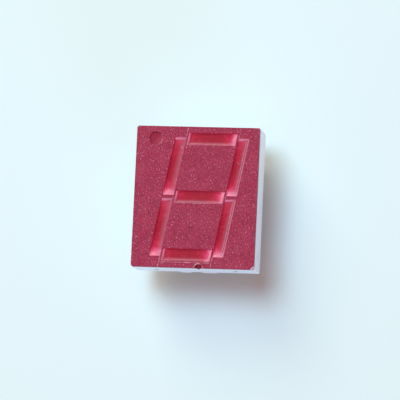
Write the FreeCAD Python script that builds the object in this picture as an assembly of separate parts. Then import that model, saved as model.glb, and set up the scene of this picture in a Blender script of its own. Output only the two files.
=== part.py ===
import FreeCAD, Part

import math
import os

from FreeCAD import Vector

# Single-digit seven-segment display, 18 mm digit class, in millimetres.
# The digit reads upright along +Y and the face looks along +Z.
# The origin is on the plane of the lead tips, under the middle of the body.

# Standard lead pattern
pin_pitch = 2.54
row_spacing = 15.24
pins_per_row = 5

# Body: it spans the lead rows one way and the digit the other
row_inset = 1.13
digit_margin = 0.95
body_depth = 6.0
plate_thickness = 0.85
side_wall = 0.7
end_wall = 0.8
wall_edge_radius = 0.12
parting_from_rear = 1.3
parting_step = 0.05
resin_setback = 0.4

# Feet at the rear edge of both end walls: a wide and a narrow one on each
foot_height = 1.0
foot_thickness = 1.4
foot_edge_radius = 0.25
wide_foot_width = 2.1
wide_foot_x = -1.55
narrow_foot_width = 1.55
narrow_foot_x = 1.975

# Corners of the front plate, named as the digit is read
cut_corner = 0.45
top_right_radius = 0.3
bottom_left_radius = 0.15
bottom_right_radius = 0.35
face_edge_radius = 0.06

# Digit
digit_height = 18.1
slant_deg = 10.0
digit_x = -0.6
column_to_row = 3.12
upright_width = 1.52
upright_end_setback = 0.65
upright_gap = 0.55
bar_width = 1.65
bar_end_gap = 0.31
point_diameter = 1.95
point_side_inset = 2.78
point_end_inset = 1.76

# Recessed windows in the plate
recess_depth = 0.22
recess_side_draft_deg = 20.0
recess_end_slope_deg = 48.0
dish_depth = 0.09
point_recess_depth = 0.2
point_recess_draft = 0.05

# Gate notch in the plate's top edge, with the broken gate stub in it
gate_x = -0.9
gate_notch_radius = 0.55
gate_notch_depth = 0.35
gate_stub_radius = 0.42
gate_stub_reach = 0.15
gate_stub_drop = 0.1

# Funnels of the reflector
frame_depth = 3.4
funnel_foot_length = 3.0
funnel_foot_width = 1.1
point_funnel_foot_diameter = 1.75

# Stamped leads
lead_thickness = 0.25
pin_width = 0.5
pin_length = 4.0
pin_tip_length = 0.4
pin_tip_width = 0.3
bend_radius = 0.2
finger_width = 0.56
shoulder_length = 0.5
pad_side = 0.7
pad_offset = 0.45
tie_bar_width = 0.46
tie_bar_to_row = 1.92
tie_bar_end_setback = 0.3
tie_bar_hole_clearance = 0.15
lead_margin = 0.3

# Chips and bond wires
chip_side = 0.35
chip_height = 0.25
wire_diameter = 0.03
ball_diameter = 0.09
ball_height = 0.03
loop_rise = 0.38
loop_fall = 0.12

# Heights, from the lead tips up
seating_z = pin_length
rear_z = seating_z + foot_height
face_z = rear_z + body_depth
plate_back_z = face_z - plate_thickness
frame_z = face_z - frame_depth
resin_back_z = rear_z + resin_setback

# Two places nearer than this are the same
same_place = 0.001

# Places in plan, from the body's middle
slant = math.tan(math.radians(slant_deg))
row_x = row_spacing / 2
half_width = row_x + row_inset
half_height = digit_height / 2 + digit_margin
cavity_half_width = half_width - side_wall
cavity_half_height = half_height - end_wall
column_pitch = row_spacing - 2 * column_to_row
point_x = half_width - point_side_inset
point_y = point_end_inset - half_height
tie_bar_x = row_x - tie_bar_to_row

# Places of a pin in its row, counted from the top
top_place = 0
upper_place = 1
middle_place = (pins_per_row - 1) // 2
bottom_place = pins_per_row - 1
lower_place = bottom_place - 1


def slanted(x, y, z):
    """Point of the digit: x is measured on the digit's middle line, y along the body."""
    return Vector(x + y * slant, y, z)


def frustum(low, high):
    """Solid between two four-cornered outlines whose sides run parallel."""
    faces = [Part.Face(Part.makePolygon(ring + ring[:1])) for ring in (low, high)]
    for i in range(4):
        j = (i + 1) % 4
        side = [low[i], low[j], high[j], high[i], low[i]]
        faces.append(Part.Face(Part.makePolygon(side)))
    return Part.Solid(Part.makeShell(faces))


def box(low, high):
    """Upright box between two opposite corners."""
    size = high - low
    return Part.makeBox(size.x, size.y, size.z, low)


def upright_edges(solid):
    """Edges of a solid that run straight along Z."""
    found = []
    for edge in solid.Edges:
        if isinstance(edge.Curve, Part.Line):
            if math.isclose(abs(edge.tangentAt(edge.FirstParameter).z), 1):
                found.append(edge)
    return found


class Segment:
    """One bar or upright of the digit, with its window, funnel, chip and landing."""

    def __init__(self, x, y, width, height, chip_side_of_centre):
        self.x = x
        self.y = y
        self.width = width
        self.height = height
        self.is_bar = width > height
        self.chip_sign = chip_side_of_centre
        self.centre = slanted(x, y, frame_z)

    def outline(self, z, width, height):
        """Four corners of a slanted outline round the segment's centre."""
        signs = ((-1, -1), (1, -1), (1, 1), (-1, 1))
        half_w, half_h = width / 2, height / 2
        return [slanted(self.x + sx * half_w, self.y + sy * half_h, z) for sx, sy in signs]

    def along(self):
        """Unit vector along the segment."""
        if self.is_bar:
            return Vector(1, 0, 0)
        return Vector(slant, 1, 0).normalize()

    def chip_point(self):
        return self.centre + self.along() * (self.chip_sign * pad_offset)

    def landing_point(self):
        return self.centre - self.along() * (self.chip_sign * pad_offset)

    def recess(self):
        """Window cut into the plate: steep sides, sloping ends and a floor dished across."""
        side_inset = 2 * recess_depth * math.tan(math.radians(recess_side_draft_deg))
        end_inset = 2 * recess_depth * math.tan(math.radians(recess_end_slope_deg))
        floor_z = face_z - recess_depth
        if self.is_bar:
            floor_w, floor_h = self.width - end_inset, self.height - side_inset
        else:
            floor_w, floor_h = self.width - side_inset, self.height - end_inset
        floor = self.outline(floor_z, floor_w, floor_h)
        walls = frustum(floor, self.outline(face_z, self.width, self.height))
        return walls.fuse(self.dish(floor_z, floor_w, floor_h))

    def dish(self, floor_z, floor_w, floor_h):
        """Shallow trough below the floor, round across the segment."""
        across = floor_h if self.is_bar else floor_w * math.cos(math.atan(slant))
        radius = (across ** 2 / 4 + dish_depth ** 2) / (2 * dish_depth)
        length = 2 * max(floor_w, floor_h)
        axis = self.along()
        centre = slanted(self.x, self.y, floor_z - dish_depth + radius)
        trough = Part.makeCylinder(radius, length, centre - axis * (length / 2), axis)
        below = self.outline(floor_z - dish_depth, floor_w, floor_h)
        return trough.common(frustum(below, self.outline(floor_z, floor_w, floor_h)))

    def funnel(self):
        """Reflector funnel, from the segment's full size down to its foot over the chip."""
        if self.is_bar:
            foot = self.outline(frame_z, funnel_foot_length, funnel_foot_width)
        else:
            foot = self.outline(frame_z, funnel_foot_width, funnel_foot_length)
        return frustum(foot, self.outline(plate_back_z, self.width, self.height))


class Point:
    """The round decimal point."""

    def __init__(self, chip_side_of_centre):
        self.chip_sign = chip_side_of_centre
        self.centre = Vector(point_x, point_y, frame_z)

    def along(self):
        return Vector(0, 1, 0)

    def chip_point(self):
        return self.centre + self.along() * (self.chip_sign * pad_offset)

    def landing_point(self):
        return self.centre - self.along() * (self.chip_sign * pad_offset)

    def recess(self):
        floor = Vector(point_x, point_y, face_z - point_recess_depth)
        radius = point_diameter / 2
        return Part.makeCone(radius - point_recess_draft, radius, point_recess_depth, floor)

    def funnel(self):
        depth = plate_back_z - frame_z
        return Part.makeCone(point_funnel_foot_diameter / 2, point_diameter / 2, depth, self.centre)


def make_segments():
    """The seven segments and the point, by their usual letters."""
    bar_length = column_pitch - upright_width - 2 * bar_end_gap
    bar_y = digit_height / 2 - bar_width / 2
    upright_top = digit_height / 2 - upright_end_setback
    upright_length = upright_top - upright_gap / 2
    upright_y = upright_gap / 2 + upright_length / 2
    left = digit_x - column_pitch / 2
    right = digit_x + column_pitch / 2
    return {
        "a": Segment(digit_x, bar_y, bar_length, bar_width, -1),
        "b": Segment(right, upright_y, upright_width, upright_length, 1),
        "c": Segment(right, -upright_y, upright_width, upright_length, 1),
        "d": Segment(digit_x, -bar_y, bar_length, bar_width, -1),
        "e": Segment(left, -upright_y, upright_width, upright_length, 1),
        "f": Segment(left, upright_y, upright_width, upright_length, -1),
        "g": Segment(digit_x, 0, bar_length, bar_width, 1),
        "dp": Point(-1),
    }


def make_front_plate(segments):
    """Red plate with its windows, cut corner and gate."""
    low = Vector(-half_width, -half_height, plate_back_z)
    plate = box(low, Vector(half_width, half_height, face_z))
    treatments = (
        (1, 1, top_right_radius),
        (-1, -1, bottom_left_radius),
        (1, -1, bottom_right_radius),
    )
    for sx, sy, radius in treatments:
        plate = plate.makeFillet(radius, [corner_edge(plate, sx, sy)])
    plate = plate.makeChamfer(cut_corner, [corner_edge(plate, -1, 1)])
    rim = [e for e in plate.Edges if e.BoundBox.ZMin > face_z - same_place]
    plate = plate.makeFillet(face_edge_radius, rim)
    for segment in segments.values():
        plate = plate.cut(segment.recess())
    return add_gate(plate)


def corner_edge(plate, sx, sy):
    """The upright edge nearest one corner of the body."""
    corner = Vector(sx * half_width, sy * half_height, 0)
    return min(upright_edges(plate), key=lambda e: distance_in_plan(e, corner))


def distance_in_plan(edge, point):
    middle = edge.CenterOfMass
    return math.hypot(middle.x - point.x, middle.y - point.y)


def add_gate(plate):
    """Half-round notch in the top edge with the broken stub standing in it."""
    notch_low = Vector(gate_x, half_height, face_z - gate_notch_depth)
    notch = Part.makeCylinder(gate_notch_radius, gate_notch_depth, notch_low)
    stub_y = half_height + gate_stub_reach - gate_stub_radius
    stub_low = Vector(gate_x, stub_y, plate_back_z)
    stub_height = plate_thickness - gate_stub_drop
    stub = Part.makeCylinder(gate_stub_radius, stub_height, stub_low)
    return plate.cut(notch).fuse(stub).removeSplitter()


def make_cavity():
    """Space at the rear of the housing that holds the lead frame and the resin."""
    low = Vector(-cavity_half_width, -cavity_half_height, rear_z)
    return box(low, Vector(cavity_half_width, cavity_half_height, frame_z))


def make_housing(segments, tie_bars):
    """White moulded box with funnels, rear cavity, feet and tie-bar holes."""
    low = Vector(-half_width, -half_height, rear_z + parting_from_rear)
    upper = box(low, Vector(half_width, half_height, plate_back_z))
    upper = upper.makeFillet(wall_edge_radius, upright_edges(upper))
    step = Vector(parting_step, parting_step, 0)
    rear_low = Vector(-half_width, -half_height, rear_z) + step
    rear_high = Vector(half_width, half_height, rear_z + parting_from_rear) - step
    lower = box(rear_low, rear_high)
    lower = lower.makeFillet(wall_edge_radius, upright_edges(lower))
    housing = upper.fuse(lower)
    for foot in make_feet():
        housing = housing.fuse(foot)
    housing = housing.cut(make_cavity())
    for segment in segments.values():
        housing = housing.cut(segment.funnel())
    for tie_bar in tie_bars:
        housing = housing.cut(tie_bar)
    return housing.removeSplitter()


def make_feet():
    """Feet that set the body off the board, two on each end wall."""
    feet = []
    outer = half_height - parting_step
    for side in (1, -1):
        for x, width in ((wide_foot_x, wide_foot_width), (narrow_foot_x, narrow_foot_width)):
            y_edges = sorted((side * outer, side * (outer - foot_thickness)))
            low = Vector(x - width / 2, y_edges[0], seating_z)
            foot = box(low, Vector(x + width / 2, y_edges[1], rear_z))
            edges = [e for e in foot.Edges if rounded_foot_edge(e, side * outer)]
            feet.append(foot.makeFillet(foot_edge_radius, edges))
    return feet


def rounded_foot_edge(edge, outer_y):
    """The lower edges of a foot, apart from the one in the plane of the end wall."""
    middle = edge.CenterOfMass
    return abs(middle.z - seating_z) < same_place and abs(middle.y - outer_y) > same_place


def strip(points, width):
    """Flat stamped strip through points, mitred at its turns."""
    left, right = [], []
    for i, point in enumerate(points):
        into = (point - points[i - 1]).normalize() if i else (points[1] - point).normalize()
        out = (points[i + 1] - point).normalize() if i + 1 < len(points) else into
        middle = (into + out).normalize()
        across = Vector(-middle.y, middle.x, 0)
        reach = width / 2 / middle.dot(into)
        left.append(point + across * reach)
        right.append(point - across * reach)
    ring = left + right[::-1]
    face = Part.Face(Part.makePolygon(ring + ring[:1]))
    return face.extrude(Vector(0, 0, -lead_thickness))


def pad(centre, along):
    """Square pad or landing, turned to lie along its segment."""
    low = Vector(-pad_side / 2, -pad_side / 2, -lead_thickness)
    square = Part.makeBox(pad_side, pad_side, lead_thickness, low)
    square.rotate(Vector(0, 0, 0), Vector(0, 0, 1), math.degrees(math.atan2(along.y, along.x)))
    square.translate(centre)
    return square


def pin_y(place):
    """Height of a pin's place in its row, counted from the top."""
    return pin_pitch * ((pins_per_row - 1) / 2 - place)


def at(x, y):
    """Point on the lead frame's front surface."""
    return Vector(x, y, frame_z)


def finger_start(side, place):
    """First two points of a finger: the bend into the pin and the end of a straight shoulder."""
    x = side * (row_x - lead_thickness / 2 - bend_radius)
    return [at(x, pin_y(place)), at(x - side * shoulder_length, pin_y(place))]


def make_pin(side, place):
    """Bent lead end: a quarter bend and a straight pin with a narrowed tip."""
    inner_x = row_x - lead_thickness / 2
    start_x = inner_x - bend_radius
    outer_x = inner_x + lead_thickness
    under_z = frame_z - lead_thickness
    bend_z = under_z - bend_radius
    diagonal = math.sqrt(0.5)
    outer_radius = bend_radius + lead_thickness
    corner = Vector(start_x, 0, bend_z)
    outer_mid = corner + Vector(outer_radius * diagonal, 0, outer_radius * diagonal)
    inner_mid = corner + Vector(bend_radius * diagonal, 0, bend_radius * diagonal)
    a = Vector(start_x, 0, frame_z)
    b = Vector(outer_x, 0, bend_z)
    c = Vector(outer_x, 0, 0)
    d = Vector(inner_x, 0, 0)
    e = Vector(inner_x, 0, bend_z)
    f = Vector(start_x, 0, under_z)
    edges = [
        Part.Arc(a, outer_mid, b).toShape(),
        Part.LineSegment(b, c).toShape(),
        Part.LineSegment(c, d).toShape(),
        Part.LineSegment(d, e).toShape(),
        Part.Arc(e, inner_mid, f).toShape(),
        Part.LineSegment(f, a).toShape(),
    ]
    profile = Part.Face(Part.Wire(edges))
    pin = profile.extrude(Vector(0, pin_width, 0))
    pin.translate(Vector(0, -pin_width / 2, 0))
    for flank in (1, -1):
        pin = pin.cut(tip_wedge(flank, outer_x))
    if side < 0:
        pin = pin.mirror(Vector(0, 0, 0), Vector(1, 0, 0))
    pin.translate(Vector(0, pin_y(place), 0))
    return pin


def tip_wedge(flank, outer_x):
    """Corner that the shear takes off one flank of a pin's tip."""
    y_tip = flank * pin_tip_width / 2
    y_full = flank * pin_width / 2
    points = [
        Vector(outer_x, y_tip, 0),
        Vector(outer_x, y_full, 0),
        Vector(outer_x, y_full, pin_tip_length),
    ]
    face = Part.Face(Part.makePolygon(points + points[:1]))
    return face.extrude(Vector(-lead_thickness, 0, 0))


def make_tie_bar(x, y_start, side):
    """Stub that held the frame, from a lead out into an end wall."""
    y_end = side * (half_height - tie_bar_end_setback)
    y_edges = sorted((y_start, y_end))
    low = Vector(x - tie_bar_width / 2, y_edges[0], frame_z - lead_thickness)
    return box(low, Vector(x + tie_bar_width / 2, y_edges[1], frame_z))


def tie_bar_hole(x, side):
    """Hole in the end wall round the stub, open to the outside and closed by the resin inside."""
    y_edges = sorted((side * cavity_half_height, side * half_height))
    half_hole = tie_bar_width / 2 + tie_bar_hole_clearance
    under_z = frame_z - lead_thickness - tie_bar_hole_clearance
    over_z = frame_z + tie_bar_hole_clearance
    return box(Vector(x - half_hole, y_edges[0], under_z), Vector(x + half_hole, y_edges[1], over_z))


def make_leads(seg):
    """The eight segment leads: a finger from its pin to its chip pad."""
    edge_x = row_x - lead_margin
    point_chip_y = seg["dp"].chip_point().y
    left, right = -1, 1
    routes = {
        "a": (left, top_place, [at(-tie_bar_x, seg["a"].centre.y)]),
        "f": (left, upper_place, []),
        "e": (left, lower_place, []),
        "d": (left, bottom_place, [at(-tie_bar_x, seg["d"].centre.y)]),
        "b": (right, top_place, [at(tie_bar_x, pin_y(top_place))]),
        "g": (right, upper_place, [at(seg["b"].centre.x, pin_y(upper_place)),
                                   at(seg["c"].centre.x, pin_y(middle_place))]),
        "c": (right, lower_place, [at(tie_bar_x, pin_y(lower_place))]),
        "dp": (right, bottom_place, [at(edge_x, pin_y(bottom_place) - shoulder_length),
                                     at(edge_x, point_chip_y)]),
    }
    leads = {}
    for name, (side, place, way) in routes.items():
        points = finger_start(side, place) + way + [seg[name].chip_point()]
        lead = strip(points, finger_width).fuse(make_pin(side, place))
        leads[name] = lead.fuse(pad(seg[name].chip_point(), seg[name].along()))
    stubs = (
        ("a", -tie_bar_x, seg["a"].centre.y, 1),
        ("b", tie_bar_x, pin_y(top_place), 1),
        ("d", -tie_bar_x, seg["d"].centre.y, -1),
        ("dp", tie_bar_x, point_chip_y, -1),
    )
    for name, x, y, side in stubs:
        leads[name] = leads[name].fuse(make_tie_bar(x, y, side))
    return {name: lead.removeSplitter() for name, lead in leads.items()}


def make_common_lead(seg):
    """One stamped piece with a landing beside every chip and a pin in each row."""
    landing = {name: piece.landing_point() for name, piece in seg.items()}
    spine_x = (seg["f"].centre.x + seg["g"].centre.x) / 2
    top_y = (seg["a"].centre.y + seg["f"].centre.y) / 2
    riser_x = (landing["a"].x + seg["b"].centre.x) / 2
    low_y = landing["c"].y
    dip_y = (seg["d"].centre.y + low_y) / 2
    link_x = (seg["g"].centre.x + seg["c"].centre.x) / 2
    link_y = -pin_pitch / 2
    drop_x = landing["d"].x + (landing["c"].x - landing["d"].x) / 3
    left_pin = finger_start(-1, middle_place)
    right_pin = finger_start(1, middle_place)
    runs = (
        left_pin + [landing["g"]],
        [at(spine_x, 0), at(spine_x, top_y), at(riser_x, top_y), at(riser_x, landing["a"].y),
         landing["a"]],
        [at(riser_x, top_y), at(riser_x, landing["b"].y), landing["b"]],
        [at(spine_x, landing["f"].y), landing["f"]],
        [at(spine_x, 0), at(spine_x, low_y), landing["c"]],
        [at(spine_x, landing["e"].y), landing["e"]],
        [at(drop_x, low_y), at(drop_x, landing["d"].y), landing["d"]],
        [landing["c"], at(landing["dp"].x, dip_y), landing["dp"]],
        right_pin + [at(seg["c"].centre.x, link_y), at(link_x, link_y + (low_y - link_y) / 3),
                     at(link_x, low_y)],
    )
    lead = make_pin(-1, middle_place).fuse(make_pin(1, middle_place))
    for points in runs:
        lead = lead.fuse(strip(points, finger_width))
    for name, place in landing.items():
        lead = lead.fuse(pad(place, seg[name].along()))
    return lead.removeSplitter()


def make_chip(segment):
    """LED chip on its pad, square to the segment."""
    half = chip_side / 2
    chip = Part.makeBox(chip_side, chip_side, chip_height, Vector(-half, -half, 0))
    along = segment.along()
    chip.rotate(Vector(0, 0, 0), Vector(0, 0, 1), math.degrees(math.atan2(along.y, along.x)))
    chip.translate(segment.chip_point())
    return chip


def hexagon(centre, radius):
    """Level six-sided wire round a point."""
    corners = []
    for i in range(7):
        angle = math.pi * i / 3
        corners.append(centre + Vector(radius * math.cos(angle), radius * math.sin(angle), 0))
    return Part.makePolygon(corners)


def make_bond_wire(segment):
    """Wire that rises from a ball on the chip, runs over and drops to the landing."""
    start = segment.chip_point() + Vector(0, 0, chip_height)
    end = segment.landing_point()
    knee = start + Vector(0, 0, loop_rise)
    run = Vector(end.x - start.x, end.y - start.y, 0)
    shoulder = knee + run - Vector(0, 0, loop_fall)
    spine = Part.makePolygon([start, knee, shoulder, end])
    wire = spine.makePipeShell([hexagon(start, wire_diameter / 2)], True, False, 1)
    ball = Part.Face(hexagon(start, ball_diameter / 2)).extrude(Vector(0, 0, ball_height))
    return wire.fuse(ball).removeSplitter()


def make_resin(segments, embedded):
    """Resin cast in from the rear, round everything that it holds."""
    low = Vector(-cavity_half_width, -cavity_half_height, resin_back_z)
    resin = box(low, Vector(cavity_half_width, cavity_half_height, frame_z))
    for segment in segments.values():
        resin = resin.fuse(segment.funnel())
    for piece in embedded:
        resin = resin.cut(piece)
    return resin.removeSplitter()


def make_parts():
    """All pieces of the display by name."""
    segments = make_segments()
    leads = make_leads(segments)
    parts = {"lead_" + name: lead for name, lead in leads.items()}
    parts["common_lead"] = make_common_lead(segments)
    for name, segment in segments.items():
        parts["chip_" + name] = make_chip(segment)
        parts["bond_wire_" + name] = make_bond_wire(segment)
    holes = [tie_bar_hole(x * tie_bar_x, side) for x in (-1, 1) for side in (-1, 1)]
    embedded = list(parts.values())
    parts["resin_casting"] = make_resin(segments, embedded)
    parts["reflector_housing"] = make_housing(segments, holes)
    parts["front_plate"] = make_front_plate(segments)
    return parts


def main():
    os.makedirs("parts", exist_ok=True)
    for name, shape in make_parts().items():
        solids = shape.Solids
        print(name, "solids", len(solids), "valid", shape.isValid(), "mm3", round(shape.Volume, 4))
        solid = solids[0] if len(solids) == 1 else shape
        solid.exportStep(os.path.join("parts", name + ".step"))


main()
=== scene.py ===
"""Dresses the seven-segment display: tinted plate, white housing, cast resin and tinned leads.

Pieces are modelled in millimetres and brought to metres when they are finished. The frame is the
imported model's own: +Y is the top of the digit, the face looks along +Z, and the tips of the leads
stand on the plane z = 0. The view shows the digit upside down, as it lies in the picture.
"""

import logging
import math
import random
from abc import ABC, abstractmethod
from contextlib import contextmanager
from dataclasses import dataclass, field
from enum import Enum
from typing import Callable, Iterator, Sequence

import bmesh
import bpy
from mathutils import Matrix, Vector


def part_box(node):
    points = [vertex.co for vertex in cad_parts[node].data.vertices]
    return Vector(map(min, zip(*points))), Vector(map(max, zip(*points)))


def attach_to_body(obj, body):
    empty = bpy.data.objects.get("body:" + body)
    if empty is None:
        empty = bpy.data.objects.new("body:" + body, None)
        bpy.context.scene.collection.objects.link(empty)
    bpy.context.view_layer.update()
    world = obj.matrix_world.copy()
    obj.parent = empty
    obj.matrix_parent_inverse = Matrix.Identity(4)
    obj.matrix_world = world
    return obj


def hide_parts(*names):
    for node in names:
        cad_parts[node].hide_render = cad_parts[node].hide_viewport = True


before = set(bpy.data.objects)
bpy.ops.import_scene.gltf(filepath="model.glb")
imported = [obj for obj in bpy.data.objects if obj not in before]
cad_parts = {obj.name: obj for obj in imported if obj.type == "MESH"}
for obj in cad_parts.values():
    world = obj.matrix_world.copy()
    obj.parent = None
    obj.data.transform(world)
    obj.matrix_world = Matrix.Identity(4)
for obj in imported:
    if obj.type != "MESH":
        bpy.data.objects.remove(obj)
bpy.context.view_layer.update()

LOG = logging.getLogger("display")
MM = 0.001
# Points closer than this, in millimetres, lie in one place
NEAR = 1e-4
# A face lies level where its normal's Z passes this
LEVEL = 0.999
# How far a tool that cuts the face reaches past it, in millimetres
OVERRUN = 0.2
# Seed of every random draw
SEED = 7
# Attributes of the plate's mesh that paint light, shade and sheen into its windows and point
SHADES = ("across", "painted_light", "painted_sheen")

Piece = bpy.types.Object
Socket = bpy.types.NodeSocket
Tree = bpy.types.NodeTree
Material = bpy.types.Material
Test = Callable[..., bool]
Span = tuple[float, float]
Triple = tuple[float, float, float]
Colour = Triple
# X and Y of a mark on the face, and its radius
Spot = Triple


class Element(Enum):
    """Mesh elements that can be picked in edit mode."""

    VERTEX = "VERT"
    EDGE = "EDGE"
    FACE = "FACE"


class Solid(Enum):
    """Ways in which one solid acts on another."""

    CUT = "DIFFERENCE"
    JOIN = "UNION"


class Run(Enum):
    """Directions in which a segment of the digit runs, before it leans."""

    BAR = (1, 0, 0)
    UPRIGHT = (0, 1, 0)


def clear_selection() -> None:
    """Leave nothing selected, so that an operator acts on one piece alone."""
    bpy.ops.object.select_all(action="DESELECT")


def take(piece: Piece) -> None:
    """Select one piece alone and make it the active one.

    Args:
        piece: The object that the next operators work on.
    """
    clear_selection()
    piece.select_set(True)
    bpy.context.view_layer.objects.active = piece


@contextmanager
def editing(piece: Piece) -> Iterator[None]:
    """Open a piece in edit mode with nothing selected, and close it again.

    Args:
        piece: The mesh object to edit.
    """
    take(piece)
    bpy.ops.object.mode_set(mode="EDIT")
    bpy.ops.mesh.select_all(action="DESELECT")
    yield
    bpy.ops.object.mode_set(mode="OBJECT")


def pick(piece: Piece, kind: Element, test: Test) -> None:
    """Select the elements of an opened piece that pass a test, and nothing else.

    Args:
        piece: The mesh object that is open in edit mode.
        kind: Which elements are looked at.
        test: Says of one element whether it is selected.
    """
    bpy.ops.mesh.select_mode(type=kind.value)
    bpy.ops.mesh.select_all(action="DESELECT")
    mesh = bmesh.from_edit_mesh(piece.data)
    mesh.normal_update()
    elements = {Element.VERTEX: mesh.verts, Element.EDGE: mesh.edges, Element.FACE: mesh.faces}
    for element in elements[kind]:
        if test(element):
            element.select_set(True)
    mesh.select_flush_mode()
    bmesh.update_edit_mesh(piece.data)


def above(height: float) -> Test:
    """Test for edges and faces that lie wholly above a height."""
    return lambda element: all(v.co.z > height for v in element.verts)


def below(height: float) -> Test:
    """Test for edges and faces that lie wholly below a height."""
    return lambda element: all(v.co.z < height for v in element.verts)


def bevel(piece: Piece, test: Test, width: float, segments: int) -> None:
    """Bevel the edges of an opened piece that pass a test, as wide and as round as it says."""
    pick(piece, Element.EDGE, test)
    bpy.ops.mesh.bevel(offset=width, segments=segments, affect="EDGES")


def slice_all(place: Sequence[float], normal: Sequence[float], **settings: bool) -> None:
    """Cut every face of the opened piece along a plane, by a point of it and its normal."""
    bpy.ops.mesh.select_all(action="SELECT")
    bpy.ops.mesh.bisect(plane_co=place, plane_no=normal, **settings)


def settle(piece: Piece) -> None:
    """Apply a piece's place, turn and scale to its mesh."""
    take(piece)
    bpy.ops.object.transform_apply(location=True, rotation=True, scale=True)


def shape(add: Callable[..., object], place: Sequence[float], **sizes: float) -> Piece:
    """Add a primitive, with its place in its mesh.

    Args:
        add: The operator that adds it.
        place: Its middle.
        sizes: The operator's own sizes.

    Returns:
        The new object.
    """
    clear_selection()
    add(location=place, **sizes)
    piece = bpy.context.active_object
    settle(piece)
    return piece


def block(name: str, low: Sequence[float], high: Sequence[float]) -> Piece:
    """Add a box between two corners, with its place in its mesh.

    Args:
        name: Name of the new object.
        low: Lowest corner, in millimetres.
        high: Highest corner, in millimetres.

    Returns:
        The new object.
    """
    low, high = Vector(low), Vector(high)
    clear_selection()
    bpy.ops.mesh.primitive_cube_add(size=1, location=(low + high) / 2)
    piece = bpy.context.active_object
    piece.name = name
    piece.scale = high - low
    settle(piece)
    return piece


def lump(place: Sequence[float], radius: float, unevenness: float, fineness: int) -> Piece:
    """Add an uneven round lump.

    Args:
        place: Its middle.
        radius: Its radius.
        unevenness: How far its points stray.
        fineness: How often its faces are divided.

    Returns:
        The new object.
    """
    piece = shape(bpy.ops.mesh.primitive_ico_sphere_add, place, subdivisions=fineness,
                  radius=radius)
    with editing(piece):
        bpy.ops.mesh.select_all(action="SELECT")
        bpy.ops.transform.vertex_random(offset=unevenness, seed=SEED)
    return piece


def combine(piece: Piece, tool: Piece, how: Solid, finish: Material) -> None:
    """Cut a tool's solid out of a piece, or join it on, and use the tool up.

    Args:
        piece: The object that is changed.
        tool: The object that is cut away or added, and then removed.
        how: Whether the tool cuts or joins.
        finish: Material of the faces that the tool leaves.
    """
    tool.data.materials.append(finish)
    take(piece)
    modifier = piece.modifiers.new("combine", "BOOLEAN")
    modifier.operation = how.value
    modifier.object = tool
    modifier.solver = "EXACT"
    modifier.material_mode = "TRANSFER"
    bpy.ops.object.modifier_apply(modifier=modifier.name)
    bpy.data.objects.remove(tool, do_unlink=True)


def attach(piece: Piece, detail: Piece) -> None:
    """Put a small closed detail that is half sunk in a piece into the piece's mesh.

    Args:
        piece: The object that keeps its name.
        detail: The object that becomes part of it.
    """
    take(piece)
    detail.select_set(True)
    bpy.ops.object.join()


def lean(piece: Piece, slant: float) -> None:
    """Lean a piece as the digit leans, by moving each row of its points along X.

    Args:
        piece: The object, in object mode.
        slant: How far a point moves along X for each millimetre of its Y.
    """
    rows: list[float] = []
    for y in sorted(v.co.y for v in piece.data.vertices):
        if not rows or y - rows[-1] > NEAR:
            rows.append(y)
    with editing(piece):
        for row in rows:
            pick(piece, Element.VERTEX, lambda v, y=row: y <= v.co.y <= y + NEAR)
            bpy.ops.transform.translate(value=(row * slant, 0, 0))


def finish_piece(piece: Piece, smooth_deg: float) -> None:
    """Smooth a finished piece and bring it from millimetres to the frame's metres.

    Args:
        piece: The object, modelled in millimetres.
        smooth_deg: Faces that meet at a smaller angle than this are shaded as one surface.
    """
    take(piece)
    bpy.ops.object.shade_smooth_by_angle(angle=math.radians(smooth_deg))
    modifier = piece.modifiers.new("even_shading", "WEIGHTED_NORMAL")
    modifier.keep_sharp = True
    bpy.ops.object.modifier_apply(modifier=modifier.name)
    piece.scale = (MM, MM, MM)
    settle(piece)


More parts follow.
